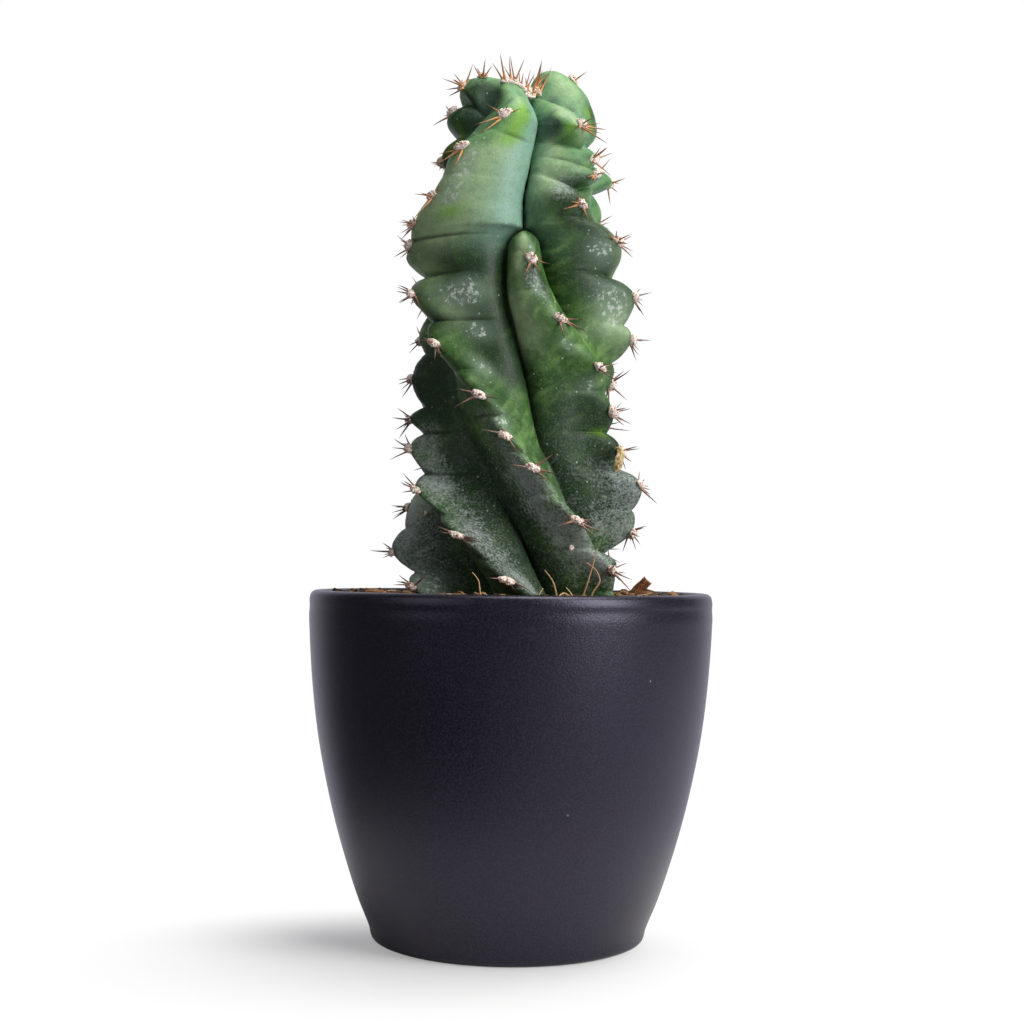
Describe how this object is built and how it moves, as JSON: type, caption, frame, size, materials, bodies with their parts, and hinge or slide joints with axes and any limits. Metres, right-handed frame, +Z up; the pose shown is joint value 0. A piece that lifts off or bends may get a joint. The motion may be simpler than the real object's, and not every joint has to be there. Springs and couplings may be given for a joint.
{
  "type": "potted spiral cereus",
  "caption": "Column cactus with thick notched ribs that turn slowly round the stem, spined areoles along their crests, planted in bark soil in a matt dark ceramic pot.",
  "frame": {"origin": "middle of the pot's foot, on the surface that it stands on", "axes": "+Z up along the stem; the pictured side, with the short rib, faces -Y and the leaning bark stick is towards +X"},
  "size_m": [0.1442, 0.1442, 0.317],
  "materials": {
    "pot_ceramic": "satin",
    "bark_soil": "matte",
    "cactus_skin": "satin",
    "dry_bark": "matte"
  },
  "bodies": {
    "root": {"pot": "pot_ceramic", "soil": "bark_soil", "stem": "cactus_skin", "bark_stick": "dry_bark"}
  },
  "joints": []
}
